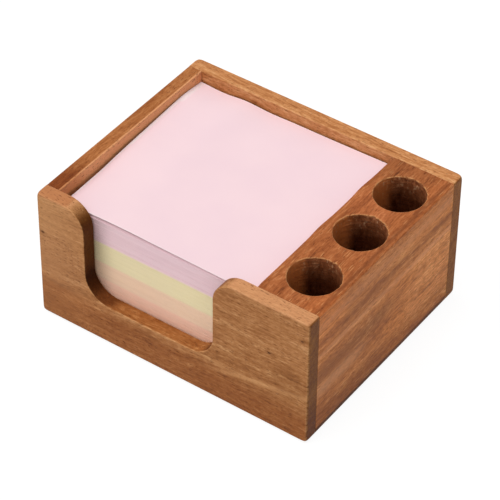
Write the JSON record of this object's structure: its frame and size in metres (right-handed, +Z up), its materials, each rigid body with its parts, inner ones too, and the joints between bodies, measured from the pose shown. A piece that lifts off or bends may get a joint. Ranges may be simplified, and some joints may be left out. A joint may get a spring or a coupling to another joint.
{
  "type": "sticky note dispenser",
  "caption": "Wooden desk holder with a square pocket for a stack of coloured sticky notes, a U-shaped thumb notch in the front board and round pen bores in a thick side block.",
  "frame": {"origin": "centre of the footprint, on the surface that the feet stand on", "axes": "+X to the right along the front board, +Y from the front board to the back board, +Z up"},
  "size_m": [0.1064, 0.088, 0.0518],
  "materials": {
    "acacia_front": "satin",
    "acacia_back": "satin",
    "acacia_side": "satin",
    "acacia_block": "satin",
    "acacia_base": "satin",
    "dowel_wood": "satin",
    "paper_pink": "matte",
    "paper_yellow": "matte",
    "paper_peach": "matte",
    "paper_coral": "matte",
    "paper_blue": "matte",
    "card_grey": "matte",
    "foot_rubber": "matte"
  },
  "bodies": {
    "holder": {"front_board": "acacia_front", "back_board": "acacia_back", "left_board": "acacia_side", "pen_block": "acacia_block", "base_board": "acacia_base", "dowel_front_left_board_1": "dowel_wood", "dowel_front_left_board_2": "dowel_wood", "dowel_front_pen_block_1": "dowel_wood", "dowel_front_pen_block_2": "dowel_wood", "dowel_front_pen_block_3": "dowel_wood", "dowel_front_pen_block_4": "dowel_wood", "dowel_back_left_board_1": "dowel_wood", "dowel_back_left_board_2": "dowel_wood", "dowel_back_pen_block_1": "dowel_wood", "dowel_back_pen_block_2": "dowel_wood", "dowel_back_pen_block_3": "dowel_wood", "dowel_back_pen_block_4": "dowel_wood", "foot_front_left": "foot_rubber", "foot_front_right": "foot_rubber", "foot_back_left": "foot_rubber", "foot_back_right": "foot_rubber"},
    "blue_pad": {"backing_card": "card_grey", "blue_note_pad": "paper_blue"},
    "coral_pad": {"coral_note_pad": "paper_coral"},
    "peach_pad": {"peach_note_pad": "paper_peach"},
    "yellow_pad": {"yellow_note_pad": "paper_yellow"},
    "pink_pad": {"pink_note_pad": "paper_pink"},
    "top_leaf": {"top_note": "paper_pink"}
  },
  "joints": [
    {"name": "blue_pad_lift", "type": "slide", "parent": "holder", "child": "blue_pad", "axis": [0, 0, 1], "range_m": [0, 0.048]},
    {"name": "coral_pad_lift", "type": "slide", "parent": "blue_pad", "child": "coral_pad", "axis": [0, 0, 1], "range_m": [0, 0.039]},
    {"name": "peach_pad_lift", "type": "slide", "parent": "coral_pad", "child": "peach_pad", "axis": [0, 0, 1], "range_m": [0, 0.031]},
    {"name": "yellow_pad_lift", "type": "slide", "parent": "peach_pad", "child": "yellow_pad", "axis": [0, 0, 1], "range_m": [0, 0.024]},
    {"name": "pink_pad_lift", "type": "slide", "parent": "yellow_pad", "child": "pink_pad", "axis": [0, 0, 1], "range_m": [0, 0.016]},
    {"name": "top_note_peel", "type": "hinge", "parent": "pink_pad", "child": "top_leaf", "pos_m": [-0.0089, 0.0381, 0.047], "axis": [-1, 0, 0], "range_deg": [0, 85]}
  ]
}
